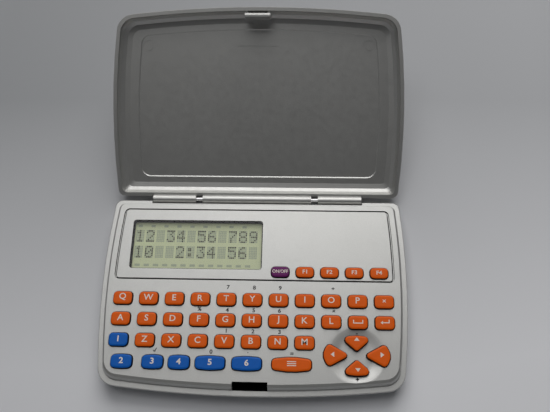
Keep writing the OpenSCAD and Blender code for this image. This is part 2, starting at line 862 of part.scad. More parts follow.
module display_plate() {
    color(silver) difference() {
        union() {
            prism(plate_outline(fit_gap, fit_gap), pocket_z, pocket_z + foot_t);
            loft([
                lifted(plate_outline(groove_side, groove_end), pocket_z),
                lifted(plate_outline(groove_side, groove_end), plate_z - 0.15),
                lifted(plate_outline(groove_side + 0.15, groove_end + 0.15), plate_z)
            ]);
        }
        prism(window_outline(0), pocket_z - 1, plate_z + 1);
        key_holes(0, len(SMALL_KEYS) - 1, pocket_z - 1, plate_z + 1);
    }
}

module display_lens() {
    color([0.8, 0.85, 0.8, 0.3])
        prism(window_outline(-fit_gap), pocket_z, pocket_z + lens_t);
}

module lcd_glass() {
    color([0.72, 0.75, 0.58])
        prism(rect(glass[0], glass[1], 0.4), glass_z, glass_top_z);
}

// Two rubber strips that join the glass to the circuit board
module elastomer_strips() {
    color([0.15, 0.15, 0.16])
        for (y = [glass[0].y + 0.4, glass[1].y - 0.4 - strip_w])
            block([window_left, y, board_top_z], [window_right, y + strip_w, glass_z]);
}

// ---------- Inside ----------

board_half = side_x(side_post_y) - post_clear - post_r - 0.3;
board_front_y = POSTS[2].y + post_r + 0.3;
board_rear_y = glass[1].y - 0.1;
well_front_y = well_y[0] - well_wall - 0.3;
well_left_x = well_x[0] - well_wall - 0.3;

// The board is cut away at the rear right for the battery well
module circuit_board() {
    color([0.1, 0.4, 0.2])
        prism([
            [-board_half, board_front_y],
            [board_half, board_front_y],
            [board_half, well_front_y],
            [well_left_x, well_front_y],
            [well_left_x, board_rear_y],
            [-board_half, board_rear_y]
        ], board_z, board_top_z);
}

sheet_rear_y = glass[0].y - 0.6;
module keypad_membrane() {
    color([0.55, 0.55, 0.52]) {
        prism([
            [-board_half + 0.2, board_front_y + 0.2],
            [board_half - 0.2, board_front_y + 0.2],
            [board_half - 0.2, well_front_y - 0.2],
            [glass[1].x + 0.4, well_front_y - 0.2],
            [glass[1].x + 0.4, sheet_rear_y],
            [-board_half + 0.2, sheet_rear_y]
        ], board_top_z, sheet_top_z);
        for (k = KEYS)
            translate([key_middle(k).x, key_middle(k).y, board_top_z])
                cylinder(r1 = dome_r, r2 = dome_r * 0.8, h = sheet_t + dome_h);
    }
}

// The middle of a key's outline
function key_middle(k) =
    let (points = k[2][0], n = len(points))
    k[1] + [for (i = [0 : n - 1]) 1] * points / n;

module battery_door() {
    low = [well_x[0] - door_ledge + door_gap, well_y[0] - door_ledge + door_gap];
    high = [well_x[1] + door_ledge - door_gap, well_y[1] + door_ledge - door_gap];
    color(silver) difference() {
        union() {
            prism(rect(low, high, 1.4), 0, door_t);
            translate([door_post.x, door_post.y, 0]) cylinder(r = post_r, h = door_boss_z);
            for (x = HOOKS) {
                block(
                    [x - hook_w / 2, well_y[0] + 0.1, 0.5],
                    [x + hook_w / 2, well_y[0] + 0.8, hook_z + 0.8]
                );
                block(
                    [x - hook_w / 2, well_y[0] - well_wall - 0.7, hook_z],
                    [x + hook_w / 2, well_y[0] + 0.5, hook_z + 0.8]
                );
            }
        }
        translate([door_post.x, door_post.y, -1]) {
            cylinder(r = screw_r + 0.15, h = 5);
            cylinder(r = screw_head_r + 0.2, h = 1 + screw_sunk + screw_head_h);
        }
        // Finger grooves
        for (i = [0 : 4])
            block(
                [cells_x - 5, well_y[0] + 2 + i * 1.5, -1],
                [cells_x + 5, well_y[0] + 2.7 + i * 1.5, 0.35]
            );
    }
}

module coin_cells() {
    color([0.7, 0.71, 0.72])
        for (side = [-1, 1])
            translate([cells_x + side * cell_pitch / 2, cells_y, cell_z]) {
                cylinder(r = cell_r - 1, h = 0.3);
                translate([0, 0, 0.3]) cylinder(r = cell_r, h = cell_t - 0.3);
            }
}

// A bent strip under the roof of the well for each cell, and a link between them
module battery_contacts() {
    spring_z = cell_z + cell_t;
    roof = well_ceiling_z;
    bend = contact_half * 0.58;
    color([0.8, 0.78, 0.7])
        for (side = [-1, 1])
            translate([cells_x + side * cell_pitch / 2, cells_y - contact_w / 2, 0])
                rotate([90, 0, 0]) mirror([0, 0, 1])
                linear_extrude(contact_w)
                polygon([
                    [-contact_half, roof],
                    [-contact_half, roof - contact_t],
                    [-bend, roof - contact_t],
                    [0, spring_z],
                    [bend, roof - contact_t],
                    [contact_half, roof - contact_t],
                    [contact_half, roof],
                    [bend - contact_t, roof],
                    [0, spring_z + contact_t],
                    [contact_t - bend, roof]
                ]);
}

module buzzer_disc() {
    color([0.75, 0.62, 0.3]) translate([window_x - 5, window_y - 3, floor_t]) {
        cylinder(r = buzzer_r, h = 0.3);
        cylinder(r = buzzer_r * 0.7, h = 0.5);
    }
}

// Seven equal screws: six through the bottom case, one through the battery door
module case_screws() {
    color([0.65, 0.66, 0.68])
        for (p = concat(POSTS, [door_post]))
            translate([p.x, p.y, screw_sunk]) difference() {
                union() {
                    cylinder(r = screw_head_r, h = screw_head_h);
                    translate([0, 0, screw_head_h]) cylinder(r = screw_r, h = screw_l);
                }
                for (turn = [0, 90])
                    rotate([0, 0, turn])
                    block([-1.1, -0.2, -1], [1.1, 0.2, 0.6]);
            }
}

module hinge_pins() {
    color([0.78, 0.78, 0.79])
        for (side = [-1, 1])
            rod_x(pin_r, side > 0 ? barrel_half - pin_hold : -barrel_half - pin_show - pin_hold,
                side > 0 ? barrel_half + pin_show + pin_hold : pin_hold - barrel_half);
}

// ---------- Lid ----------

// The lid is drawn closed over the body and then turned open about the hinge axis
module lid() {
    color(silver)
        translate([0, hinge_y, hinge_z])
        rotate([-lid_open, 0, 0])
        translate([0, -hinge_y, -hinge_z])
        closed_lid();
}

function lid_ring(height, inset) = lifted(inset_outline(inset), rim_z + height);

module closed_lid() {
    difference() {
        union() {
            difference() {
                loft([
                    lid_ring(0, 0.2),
                    lid_ring(0.3, 0),
                    lid_ring(lid_h * 0.32, 0.05),
                    lid_ring(lid_h * 0.6, 0.5),
                    lid_ring(lid_h * 0.82, 1.5),
                    lid_ring(lid_h * 0.95, 3),
                    lid_ring(lid_h, 5),
                    lid_ring(lid_h + lid_crown * 0.6, 11),
                    lid_ring(lid_h + lid_crown, 20)
                ]);
                loft([
                    lid_ring(-0.5, lid_wall),
                    lid_ring(tray_h * 0.4, lid_wall + 0.15),
                    lid_ring(tray_h * 0.72, lid_wall + 0.9),
                    lid_ring(tray_h * 0.92, lid_wall + 2.2),
                    lid_ring(tray_h, lid_wall + 4.2)
                ]);
                prism(
                    outline(panel_side, panel_end, panel_end, 4, 4),
                    rim_z + tray_h - 1,
                    rim_z + tray_h + panel_deep
                );
                moulding_marks();
                // Relief that lets the rim pass the body's barrel
                rod_x(barrel_r + lid_gap + 0.05, -barrel_half - pin_show, barrel_half + pin_show);
            }
            for (side = [-1, 1])
                knuckle(side);
            lid_catch();
        }
        for (side = [-1, 1])
            rod_x(pin_r + pin_gap,
                side > 0 ? barrel_half : -barrel_half - pin_show - pin_hold - 0.5,
                side > 0 ? barrel_half + pin_show + pin_hold + 0.5 : -barrel_half);
    }
}

// A knuckle and the web that joins it to the lid's rear wall. The web's heel is the stop.
module knuckle(side) {
    inner = barrel_half + pin_show;
    from = side > 0 ? inner : -inner - knuckle_l;
    heel = barrel_r - 0.05;
    web = [
        [-barrel_r, 0],
        [heel, 0],
        [heel, hinge_drop],
        [-hinge_back - 0.4, lid_h * 0.5 + hinge_drop],
        [-hinge_back - lid_wall * 0.7, lid_h * 0.5 + hinge_drop],
        [-hinge_back - lid_wall * 0.7, hinge_drop + lid_gap],
        [-barrel_r, hinge_drop + lid_gap]
    ];
    rod_x(barrel_r, from, from + knuckle_l);
    along_x(web, from, from + knuckle_l);
}

// The catch: a tongue with a bevelled tip that reaches past the rim, with a rib at each end to
// the front wall
module lid_catch() {
    top = rim_z + tray_h + 0.2;
    tip = rim_z - catch_reach;
    translate([-catch_w / 2, 0, 0]) rotate([90, 0, 90])
        linear_extrude(catch_w)
        polygon([
            [catch_y + catch_bevel, tip],
            [catch_y + catch_t, tip],
            [catch_y + catch_t, top],
            [catch_y, top],
            [catch_y, tip + catch_bevel]
        ]);
    for (x = [-catch_w / 2, catch_w / 2 - 1.2])
        block(
            [x, front_y(0) + lid_wall * 0.6, rim_z + 0.6],
            [x + 1.2, catch_y + catch_t / 2, top]
        );
}

// Marks in the panel: a ring near each front corner and a shallow bar between them
module moulding_marks() {
    panel_z = rim_z + tray_h + panel_deep;
    y = catch_y + mark_back;
    for (side = [-1, 1])
        translate([side * (body_w / 2 - mark_side), y, panel_z - 0.1]) difference() {
            cylinder(r = mark_r, h = 0.1 + mark_deep);
            translate([0, 0, -1]) cylinder(r = mark_r * 0.55, h = 3);
        }
    block([-8, y - 0.45, panel_z - 0.1], [8, y + 0.45, panel_z + mark_deep]);
}

bottom_case();
top_case();
display_plate();
display_lens();
lcd_glass();
elastomer_strips();
circuit_board();
keypad_membrane();
battery_door();
coin_cells();
battery_contacts();
buzzer_disc();
case_screws();
hinge_pins();
lid();
for (k = KEYS)
    key(k);
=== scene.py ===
import math

import bpy
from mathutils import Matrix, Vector


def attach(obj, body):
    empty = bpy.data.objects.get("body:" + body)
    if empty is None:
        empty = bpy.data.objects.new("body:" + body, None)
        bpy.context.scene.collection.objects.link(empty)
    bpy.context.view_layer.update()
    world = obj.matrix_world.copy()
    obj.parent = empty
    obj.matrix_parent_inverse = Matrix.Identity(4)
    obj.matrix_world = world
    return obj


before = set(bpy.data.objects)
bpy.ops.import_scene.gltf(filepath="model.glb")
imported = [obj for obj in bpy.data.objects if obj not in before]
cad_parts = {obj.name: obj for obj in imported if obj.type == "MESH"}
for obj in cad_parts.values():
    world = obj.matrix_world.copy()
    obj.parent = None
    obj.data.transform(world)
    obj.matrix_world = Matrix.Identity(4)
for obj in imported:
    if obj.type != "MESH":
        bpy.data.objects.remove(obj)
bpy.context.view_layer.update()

MM = 0.001

# ---------- Sizes shared with the CAD part, in millimetres ----------

PLATFORM_Z = 9.0
PLATE_Z = 9.1
KEY_TOP_Z = 10.15
GLASS_TOP_Z = 6.9
KEY_SIDE_Z, KEY_ROUND_Z = 9.72, 9.95  # Where a key's side ends and its rounded top begins
ROW_Y = (-2.95, -10.9, -18.85, -26.8)
KEY_PITCH = 10.0
WINDOW = (-49.1, 3.1, 9.05, 29.15)  # Left, right, near and far wall
ARROWS = (39.3, -22.95)  # Middle of the dish round the arrow keys


def linear(r, g, b):
    """A colour given as 0..255 display values, as linear values."""
    shares = (c / 255 for c in (r, g, b))
    return tuple(c / 12.92 if c <= 0.04045 else ((c + 0.055) / 1.055) ** 2.4 for c in shares)


def toned(colour, factor):
    """A colour made darker or lighter by a factor, up to 1."""
    return tuple(min(c * factor, 1) for c in colour)


# ---------- Materials ----------


class Nodes:
    """A small helper to build a material's node tree."""

    def __init__(self, name):
        self.material = bpy.data.materials.new(name)
        self.material.use_nodes = True
        self.tree = self.material.node_tree
        self.tree.nodes.clear()
        self.out = self.add("ShaderNodeOutputMaterial")
        self.coords = self.add("ShaderNodeTexCoord").outputs["Object"]

    def add(self, kind, **settings):
        node = self.tree.nodes.new(kind)
        for key, value in settings.items():
            setattr(node, key, value)
        return node

    def link(self, source, target):
        self.tree.links.new(source, target)

    def put(self, socket, value):
        if isinstance(value, bpy.types.NodeSocket):
            self.link(value, socket)
        elif socket.type == "RGBA" and len(value) == 3:
            socket.default_value = (*value, 1)
        else:
            socket.default_value = value

    def math(self, operation, a, b=0.0):
        node = self.add("ShaderNodeMath", operation=operation)
        self.put(node.inputs[0], a)
        self.put(node.inputs[1], b)
        return node.outputs[0]

    def noise(self, scale, detail, roughness):
        node = self.add("ShaderNodeTexNoise")
        self.link(self.coords, node.inputs["Vector"])
        self.put(node.inputs["Scale"], scale)
        self.put(node.inputs["Detail"], detail)
        self.put(node.inputs["Roughness"], roughness)
        return node.outputs["Fac"]

    def ramp(self, value, low, high, to_low=0.0, to_high=1.0):
        node = self.add("ShaderNodeMapRange")
        self.put(node.inputs["Value"], value)
        self.put(node.inputs["From Min"], low)
        self.put(node.inputs["From Max"], high)
        self.put(node.inputs["To Min"], to_low)
        self.put(node.inputs["To Max"], to_high)
        return node.outputs[0]

    def mix(self, fac, a, b):
        node = self.add("ShaderNodeMix", data_type="RGBA")
        self.put(node.inputs["Factor"], fac)
        self.put(node.inputs["A"], a)
        self.put(node.inputs["B"], b)
        return node.outputs["Result"]

    def bump(self, height, strength, distance):
        node = self.add("ShaderNodeBump")
        self.put(node.inputs["Strength"], strength)
        self.put(node.inputs["Distance"], distance)
        self.link(height, node.inputs["Height"])
        return node.outputs["Normal"]

    def split(self):
        node = self.add("ShaderNodeSeparateXYZ")
        self.link(self.coords, node.inputs[0])
        return node.outputs

    def both(self, a, b):
        """The product of two values: where both are masks, 1 only where both are 1."""
        return self.math("MULTIPLY", a, b)

    def above(self, value, low):
        return self.math("GREATER_THAN", value, low)

    def under(self, value, high):
        return self.math("LESS_THAN", value, high)

    def between(self, value, low, high):
        """1 where value lies between low and high, else 0."""
        return self.both(self.above(value, low), self.under(value, high))

    def reach(self, a, b):
        """The length of the flat vector whose parts are a and b."""
        return self.math("SQRT", self.math("ADD", self.both(a, a), self.both(b, b)))

    def surface(self, **inputs):
        node = self.add("ShaderNodeBsdfPrincipled")
        for key, value in inputs.items():
            self.put(node.inputs[key.replace("_", " ")], value)
        self.link(node.outputs["BSDF"], self.out.inputs["Surface"])
        return node


SILVER = (0.56, 0.56, 0.545)
# Black for walls in the silver paints: painted shade in gaps, slots and notches, and in the display
# window partly the walls' own black finish
BLACK_AND_SHADE = (0.005, 0.005, 0.006)
PAINT_METAL = 0.86
DISH_LESS_METAL = 0.45
PAINT_GLOSS = 0.5
DISH_R, DISH_FULL_R = 13.0, 10.5
DISH_NEAR_Y, DISH_FAR_Y = -27.0, -18.0


def dish_shade(n):
    """1 in the far side of the dish round the arrow keys, and 0 at its edge and near side."""
    x, y, z = n.split()
    dx = n.math("SUBTRACT", x, ARROWS[0] * MM)
    dy = n.math("SUBTRACT", y, ARROWS[1] * MM)
    inside = n.ramp(n.reach(dx, dy), DISH_R * MM, DISH_FULL_R * MM)
    return n.both(inside, n.ramp(y, DISH_NEAR_Y * MM, DISH_FAR_Y * MM))


def silver_paint(name, black_and_shade_mask=None, matte_mask=None):
    """Silver-painted plastic with a fine flake and a satin grain.

    One mask gives where black is painted, which is painted shade on the walls of narrow gaps and
    slots, and on the window's walls partly their black finish and partly painted shade; one gives
    what is less metallic.
    """
    n = Nodes(name)
    flake = n.noise(5200, 1, 0.5)
    cloud = n.noise(38, 3, 0.5)
    mottle = n.math("ADD", n.math("MULTIPLY", flake, 0.75), n.math("MULTIPLY", cloud, 0.25))
    tone = n.ramp(mottle, 0.36, 0.64, 0.95, 1.05)
    base = n.add("ShaderNodeMix", data_type="RGBA", blend_type="MULTIPLY")
    n.put(base.inputs["Factor"], 1.0)
    n.put(base.inputs["A"], SILVER)
    grey = n.add("ShaderNodeCombineColor")
    for channel in ("Red", "Green", "Blue"):
        n.link(tone, grey.inputs[channel])
    n.link(grey.outputs[0], base.inputs["B"])
    colour = base.outputs["Result"]
    roughness = n.ramp(n.noise(420, 4, 0.6), 0.3, 0.7, 0.42, 0.47)
    metallic = PAINT_METAL
    specular = PAINT_GLOSS
    if matte_mask:
        metallic = n.math("SUBTRACT", metallic, n.both(matte_mask(n), DISH_LESS_METAL))
    if black_and_shade_mask:
        # Painted shade: black with no shine where the mask is, partly the window walls' black
        # finish
        mask = black_and_shade_mask(n)
        colour = n.mix(mask, colour, BLACK_AND_SHADE)
        bare = n.math("SUBTRACT", 1.0, mask)
        metallic = n.both(bare, metallic)
        specular = n.both(bare, specular)
    n.surface(
        Base_Color=colour,
        Metallic=metallic,
        Roughness=roughness,
        Specular_IOR_Level=specular,
        Normal=n.bump(n.noise(2600, 2, 0.5), 0.10, 0.00004),
    )
    return n.material


# The edge of the display plate's pocket: bowed sides, straight ends and round corners
POCKET_BOW_X, POCKET_BOW_Y, POCKET_BOW_R = 230.1, 5.3, 282.6
POCKET_MID_Y, POCKET_HALF_Y = 19.325, 12.675
POCKET_CORNER = 2.0


def box_mask(n, low, high):
    """1 inside a box given in millimetres, else 0."""
    x, y, z = n.split()
    flat = n.both(n.between(x, low[0] * MM, high[0] * MM), n.between(y, low[1] * MM, high[1] * MM))
    return n.both(flat, n.between(z, low[2] * MM, high[2] * MM))


def window_walls(n):
    """The walls of the window, from the glass up to just below the plate's top, painted black:
    partly their black finish and partly painted shade.
    """
    left, right, near, far = WINDOW
    skin = 0.06
    return box_mask(n, (left - skin, near - skin, 6.0), (right + skin, far + skin, PLATE_Z - 0.12))


def pocket_distance(n):
    """The distance outside the edge of the plate's pocket in metres, a mask of its ends, and z."""
    x, y, z = n.split()
    across = n.math("ADD", n.math("ABSOLUTE", x), POCKET_BOW_X * MM)
    along = n.math("SUBTRACT", y, POCKET_BOW_Y * MM)
    side = n.math("SUBTRACT", n.reach(across, along), POCKET_BOW_R * MM)
    off_middle = n.math("ABSOLUTE", n.math("SUBTRACT", y, POCKET_MID_Y * MM))
    end = n.math("SUBTRACT", off_middle, POCKET_HALF_Y * MM)
    corner = n.reach(n.math("MAXIMUM", side, 0.0), n.math("MAXIMUM", end, 0.0))
    inner = n.math("MINIMUM", n.math("MAXIMUM", side, end), 0.0)
    distance = n.math("SUBTRACT", n.math("ADD", corner, inner), POCKET_CORNER * MM)
    return distance, n.above(end, side), z


def case_walls(n):
    """The walls of the window, the plate's pocket and the catch's slot, less the slot's lit left
    wall, painted black: painted shade, and in the window partly the walls' black finish.
    """
    # Painted shade in the slot and the pocket round the plate
    slot = box_mask(n, (-6.5, -36.3, 4.0), (6.6, -33.2, 8.7))
    distance, _, z = pocket_distance(n)
    pocket = n.both(n.between(distance, -0.12 * MM, 0.12 * MM), n.between(z, 8.12 * MM, 8.95 * MM))
    return n.math("MAXIMUM", window_walls(n), n.math("MAXIMUM", slot, pocket))


def plate_walls(n):
    """The walls of the window and the shaded part of the groove round the plate, painted black: the
    groove as painted shade, the window partly as painted shade and partly as its walls' black
    finish.
    """
    distance, at_end, z = pocket_distance(n)
    # Painted shade in the groove: all of the narrow ends, and the inner part of the sides
    narrow = n.both(at_end, n.under(distance, -0.05 * MM))
    shaded = n.math("MAXIMUM", n.under(distance, -0.45 * MM), narrow)
    walls = n.both(n.above(distance, -0.9 * MM), n.under(z, 8.93 * MM))
    return n.math("MAXIMUM", window_walls(n), n.both(walls, shaded))


def lower_walls(n):
    """What shows through the catch's slot, and the floor of the hinge's notch, painted black as
    shade.
    """
    slot = box_mask(n, (-9, -36.9, 1.2), (9, -30, 5.6))
    notch = box_mask(n, (-43.2, 36.9, 3.55), (43.2, 38.3, 5.0))
    return n.math("MAXIMUM", slot, notch)


def key_plastic(name, colour):
    """Smooth moulded plastic with a faint orange-peel, and painted shade: nearly black on the key's
    sides below its rounded top.
    """
    n = Nodes(name)
    x, y, z = n.split()
    top = n.ramp(z, KEY_SIDE_Z * MM, KEY_ROUND_Z * MM)
    tone = n.mix(n.noise(900, 3, 0.5), toned(colour, 0.93), toned(colour, 1.06))
    n.surface(
        # Painted shade: the key's sides, below the rounded top, are nearly black
        Base_Color=n.mix(top, tuple(c * 0.04 + 0.002 for c in colour), tone),
        Roughness=n.ramp(n.noise(700, 4, 0.6), 0.3, 0.7, 0.42, 0.54),
        Normal=n.bump(n.noise(1500, 2, 0.5), 0.08, 0.00004),
        Specular_IOR_Level=0.22,
    )
    return n.material


def clear_lens():
    """Clear acrylic: mostly see-through, with a reflection that grows at low angles."""
    n = Nodes("lens")
    clear = n.add("ShaderNodeBsdfTransparent")
    n.put(clear.inputs["Color"], (0.97, 0.98, 0.97))
    gloss = n.add("ShaderNodeBsdfGlossy")
    n.put(gloss.inputs["Roughness"], 0.04)
    fresnel = n.add("ShaderNodeFresnel")
    n.put(fresnel.inputs["IOR"], 1.45)
    front = n.math("SUBTRACT", 1.0, n.add("ShaderNodeNewGeometry").outputs["Backfacing"])
    mix = n.add("ShaderNodeMixShader")
    n.link(n.math("MULTIPLY", fresnel.outputs[0], front), mix.inputs[0])
    n.link(clear.outputs[0], mix.inputs[1])
    n.link(gloss.outputs[0], mix.inputs[2])
    n.link(mix.outputs[0], n.out.inputs["Surface"])
    return n.material


def plain(name, colour, roughness, metallic, grain):
    """A plain finish with a fine variation of its tone and gloss."""
    n = Nodes(name)
    gloss = n.noise(400, 3, 0.6)
    n.surface(
        Base_Color=n.mix(n.noise(1500, 3, 0.5), toned(colour, 1 - grain), toned(colour, 1 + grain)),
        Metallic=metallic,
        Roughness=n.ramp(gloss, 0.3, 0.7, roughness * 0.88, min(roughness * 1.12, 1)),
    )
    return n.material


def display_glass():
    """Reflective display: yellow-green and a little uneven."""
    n = Nodes("lcd")
    cloud = n.noise(60, 3, 0.5)
    grain = n.noise(4000, 2, 0.5)
    field = n.mix(cloud, linear(226, 231, 190), linear(234, 238, 200))
    field = n.mix(n.ramp(grain, 0.3, 0.7, 0, 0.25), field, linear(216, 221, 182))
    n.surface(Base_Color=field, Roughness=0.45, Specular_IOR_Level=0.3)
    return n.material


silver = silver_paint("silver_paint")
plate_silver = silver_paint("plate_paint", plate_walls)
case_silver = silver_paint("case_paint", case_walls, dish_shade)
lower_silver = silver_paint("lower_case_paint", lower_walls)
orange = key_plastic("key_orange", linear(242, 101, 6))
blue = key_plastic("key_blue", linear(8, 100, 196))
purple = key_plastic("key_purple", linear(112, 34, 104))
steel = plain("steel", (0.62, 0.62, 0.63), 0.28, 1.0, 0.04)
zinc = plain("zinc", (0.5, 0.5, 0.51), 0.36, 1.0, 0.06)
board_green = plain("board", (0.02, 0.12, 0.05), 0.4, 0.0, 0.15)
silicone = plain("silicone", (0.35, 0.35, 0.33), 0.6, 0.0, 0.05)
black_rubber = plain("connector_rubber", (0.03, 0.03, 0.033), 0.7, 0.0, 0.1)
brass = plain("brass", (0.6, 0.42, 0.16), 0.3, 1.0, 0.05)

NODE_MATERIALS = {
    "bottom_case": lower_silver,
    "top_case": case_silver,
    "display_plate": plate_silver,
    "display_lens": clear_lens(),
    "lcd_glass": display_glass(),
    "elastomer_strips": black_rubber,
    "circuit_board": board_green,
    "keypad_membrane": silicone,
    "battery_door": silver,
    "coin_cells": steel,
    "battery_contacts": steel,
    "buzzer_disc": brass,
    "case_screws": zinc,
    "hinge_pins": steel,
    "lid": silver,
    "key_on_off": purple,
}


def finish_of(node):
    """The material of a CAD node: orange for keys that aren't named or numbered."""
    if node in NODE_MATERIALS:
        return NODE_MATERIALS[node]
    return blue if node.startswith("key_language") else orange


for name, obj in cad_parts.items():
    obj.data.materials.clear()
    obj.data.materials.append(finish_of(name))

# ---------- Print on the keys and the case ----------

white_ink = plain("white_ink", linear(245, 236, 226), 0.5, 0.0, 0.03)
black_ink = plain("black_ink", linear(22, 22, 26), 0.6, 0.0, 0.1)
segment_ink = plain("segment_ink", linear(34, 36, 32), 0.6, 0.0, 0.05)
ghost_ink = plain("ghost_ink", linear(184, 191, 168), 0.6, 0.0, 0.03)


def add_piece(name, mesh, material, body):
    """Puts a mesh of one material into the scene, riding on a body."""
    mesh.materials.append(material)
    obj = bpy.data.objects.new(name, mesh)
    bpy.context.scene.collection.objects.link(obj)
    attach(obj, body)


def mesh_piece(name, vertices, faces, material, body):
    """A piece from points in millimetres."""
    mesh = bpy.data.meshes.new(name)
    mesh.from_pydata([Vector(v) * MM for v in vertices], [], faces)
    add_piece(name, mesh, material, body)


def add_rectangle(vertices, faces, corners, z):
    """Adds one flat rectangle, given by its corners x0, y0, x1, y1."""
    x0, y0, x1, y1 = corners
    start = len(vertices)
    vertices += [(x0, y0, z), (x1, y0, z), (x1, y1, z), (x0, y1, z)]
    faces.append(tuple(range(start, start + 4)))


CAPITAL_SHARE = 0.7  # Height of a capital in the font at size 1


def printed(name, text, centre, height, material, body, weight, stretch):
    """A printed sign, centred on a place. Height is of a capital, in millimetres."""
    curve = bpy.data.curves.new(name, "FONT")
    curve.body = text
    curve.align_x = "CENTER"
    curve.align_y = "CENTER"
    curve.size = 1.0
    curve.offset = weight / 4
    curve.resolution_u = 3
    holder = bpy.data.objects.new(name + "_text", curve)
    bpy.context.scene.collection.objects.link(holder)
    bpy.context.view_layer.update()
    graph = bpy.context.evaluated_depsgraph_get()
    mesh = bpy.data.meshes.new_from_object(holder.evaluated_get(graph))
    bpy.data.objects.remove(holder)
    low = [min(v.co[i] for v in mesh.vertices) for i in (0, 1)]
    high = [max(v.co[i] for v in mesh.vertices) for i in (0, 1)]
    scale = height / CAPITAL_SHARE
    for v in mesh.vertices:
        v.co = Vector((
            (centre[0] + (v.co.x - (low[0] + high[0]) / 2) * scale * stretch) * MM,
            (centre[1] + (v.co.y - (low[1] + high[1]) / 2) * scale) * MM,
            centre[2] * MM,
        ))
    mesh.materials.clear()
    add_piece(name, mesh, material, body)


INK_LIFT = 0.012
INK_Z = KEY_TOP_Z + INK_LIFT
LETTER_H = 2.3
LETTER_UP = 0.35
SIGN_UP = 0.3


def key_body(node):
    """The body that carries a key."""
    return node + "_cap"


def key_sign(name, node, text, place, height, weight, stretch):
    """A white sign on top of a key."""
    printed(name, text, (*place, INK_Z), height, white_ink, key_body(node), weight, stretch)


# Each row of letters, and the column of its first key, counted from the middle one
for row, (letters, first) in enumerate((("qwertyuiop", -5), ("asdfghjkl", -5), ("zxcvbnm", -4))):
    for i, letter in enumerate(letters):
        place = ((i + first) * KEY_PITCH, ROW_Y[row] + LETTER_UP)
        key_sign("sign_" + letter, "key_" + letter, letter.upper(), place, LETTER_H, 0.05, 1.05)

# The first language key starts the third row, and the others are in the fourth
LANGUAGE_X = (-50.0, -48.0, -36.4, -26.5, -14.9, -1.3)
for i, x in enumerate(LANGUAGE_X, 1):
    place = (x, (ROW_Y[2] if i == 1 else ROW_Y[3]) + SIGN_UP)
    key_sign("sign_language_%d" % i, "key_language_%d" % i, str(i), place, 2.1, 0.1, 1.1)

SMALL_X, SMALL_Y, SMALL_PITCH = 10.4, 8.35, 9.52
key_sign("sign_on_off", "key_on_off", "ON/OFF", (SMALL_X, SMALL_Y), 1.25, 0.06, 0.95)
for i, node in enumerate(("key_edit", "key_delete", "key_calc", "key_mode"), 1):
    key_sign("sign_" + node, node, "F%d" % i, (SMALL_X + SMALL_PITCH * i, SMALL_Y), 1.5, 0.08, 1.1)


def triangle(name, centre, size, turn, body):
    """A small solid triangle that points along turn, in degrees from +X."""
    points = []
    a = math.radians(turn)
    for along, across in ((0.62, 0), (-0.45, 0.78), (-0.45, -0.78)):
        points.append((
            centre[0] + size * (along * math.cos(a) - across * math.sin(a)),
            centre[1] + size * (along * math.sin(a) + across * math.cos(a)),
            centre[2],
        ))
    mesh_piece(name, points, [(0, 1, 2)], white_ink, body)


# Place and direction of each arrow key's triangle
ARROW_SIGNS = {
    "key_right": ((48.5, -22.7), 0),
    "key_up": ((39.35, -17.2), 90),
    "key_left": ((30.4, -22.85), 180),
    "key_down": ((39.55, -28.2), 270),
}
for node, (place, turn) in ARROW_SIGNS.items():
    triangle("sign_" + node, (*place, INK_Z), 1.25, turn, key_body(node))


def bars(name, centre, pieces, body):
    """A printed sign made of straight bars, given by their corners round the centre."""
    vertices, faces = [], []
    cx, cy = centre
    for x0, y0, x1, y1 in pieces:
        add_rectangle(vertices, faces, (cx + x0, cy + y0, cx + x1, cy + y1), INK_Z)
    mesh_piece(name, vertices, faces, white_ink, body)


# Plain signs in place of words: a cross, a space bracket, a return arrow and a list
key_sign("sign_esc", "key_esc", "×", (50.0, ROW_Y[0] + SIGN_UP), 1.9, 0.05, 1.05)
bars(
    "sign_space", (40.0, ROW_Y[1] + SIGN_UP),
    ((-1.9, -0.75, 1.9, -0.4), (-1.9, -0.4, -1.55, 0.6), (1.55, -0.4, 1.9, 0.6)),
    key_body("key_space"),
)
bars(
    "sign_enter", (50.0, ROW_Y[1] + SIGN_UP),
    ((-0.9, -0.45, 1.7, -0.1), (1.35, -0.1, 1.7, 0.9)),
    key_body("key_enter"),
)
triangle("sign_enter_tip", (50.0 - 1.15, ROW_Y[1] + 0.025, INK_Z), 0.85, 180, key_body("key_enter"))
bars(
    "sign_phrase", (15.3, ROW_Y[3] + SIGN_UP),
    ((-1.7, 0.55, 1.7, 0.87), (-1.7, -0.16, 1.7, 0.16), (-1.7, -0.87, 1.7, -0.55)),
    key_body("key_phrase"),
)

CASE_INK_Z = PLATFORM_Z + INK_LIFT
# Digits and signs printed on the case beside the keys, with their places
CASE_SIGNS = (
    ("7", -9.55, 2.0), ("8", 0.55, 1.95), ("9", 10.5, 1.95), ("÷", 30.8, 2.05),
    ("%", -20.15, -6.6), ("4", -9.5, -6.85), ("5", 0.6, -6.85), ("6", 10.4, -6.85),
    ("×", 31.0, -6.6),
    ("1", -9.5, -14.75), ("2", 0.6, -14.8), ("3", 10.6, -14.85),
    ("√", -35.9, -22.4), ("0", -14.8, -22.6), (".", -1.0, -22.7), ("=", 15.35, -22.75),
    ("-", 39.5, -14.95), ("+", 39.4, -31.45),
)
for i, (sign, x, y) in enumerate(CASE_SIGNS):
    printed("case_sign_%d" % i, sign, (x, y, CASE_INK_Z), 1.5, black_ink, "case", 0.11, 1.08)

# ---------- The rounded step round the panel in the lid ----------

BODY_W, BODY_D = 119.0, 76.7
WIDE_Y, SIDE_BOW, FRONT_BOW = 5.3, 2.55, 3.85
PANEL_SIDE, PANEL_END, PANEL_R = 9.4, 8.0, 4.0
TRAY_Z, PANEL_Z = 12.0, 12.3
HINGE_Y, HINGE_Z, LID_OPEN = 39.4, 5.8, 153.3


def arc_points(centre, radius, start, end, steps):
    """Points along an arc between two angles, in radians."""
    turns = [start + (end - start) * i / steps for i in range(steps + 1)]
    return [(centre[0] + radius * math.cos(t), centre[1] + radius * math.sin(t)) for t in turns]


